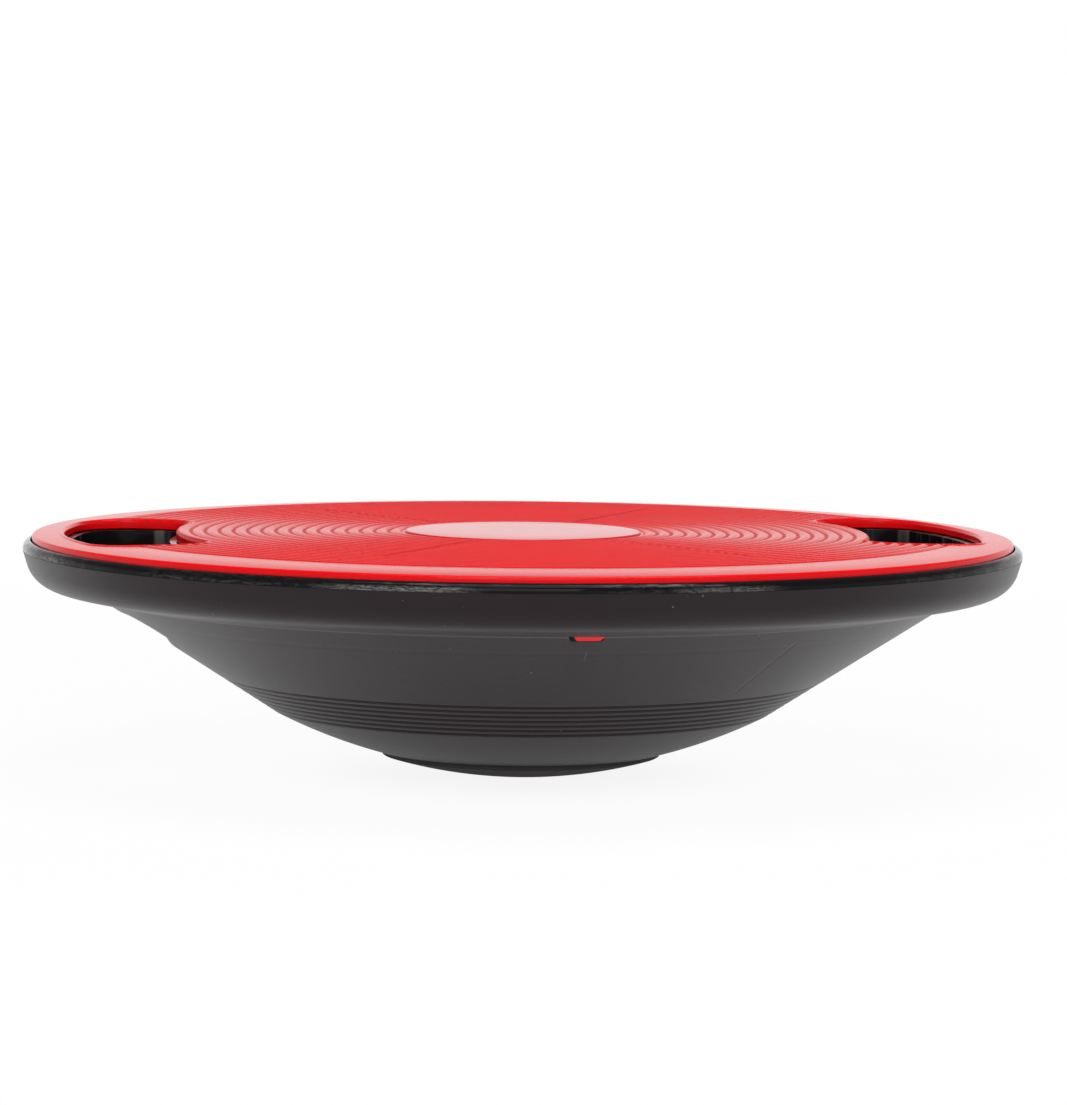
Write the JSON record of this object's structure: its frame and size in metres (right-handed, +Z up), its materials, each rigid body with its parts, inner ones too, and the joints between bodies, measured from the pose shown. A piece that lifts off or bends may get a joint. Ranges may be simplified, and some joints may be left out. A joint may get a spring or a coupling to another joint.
{
  "type": "balance board",
  "caption": "Round balance board: ridged flat deck with hand holes at both sides on a domed base shell, to stand and rock on.",
  "frame": {"origin": "the middle of the flat at the bottom of the pad, where the level board stands", "axes": "+Z up through the middle of the deck, X through the two hand holes, Y through the two snap hooks"},
  "size_m": [0.4, 0.4, 0.0981],
  "materials": {
    "deck_red": "satin moulded plastic, fine texture",
    "badge_red": "smooth glossy plastic",
    "base_black": "fine matte texture below the parting line, polished rim and tunnels",
    "pad_black": "matte rubber"
  },
  "bodies": {
    "root": {"deck": "deck_red", "centre_badge": "badge_red", "base_shell": "base_black", "bottom_pad": "pad_black"}
  },
  "joints": []
}
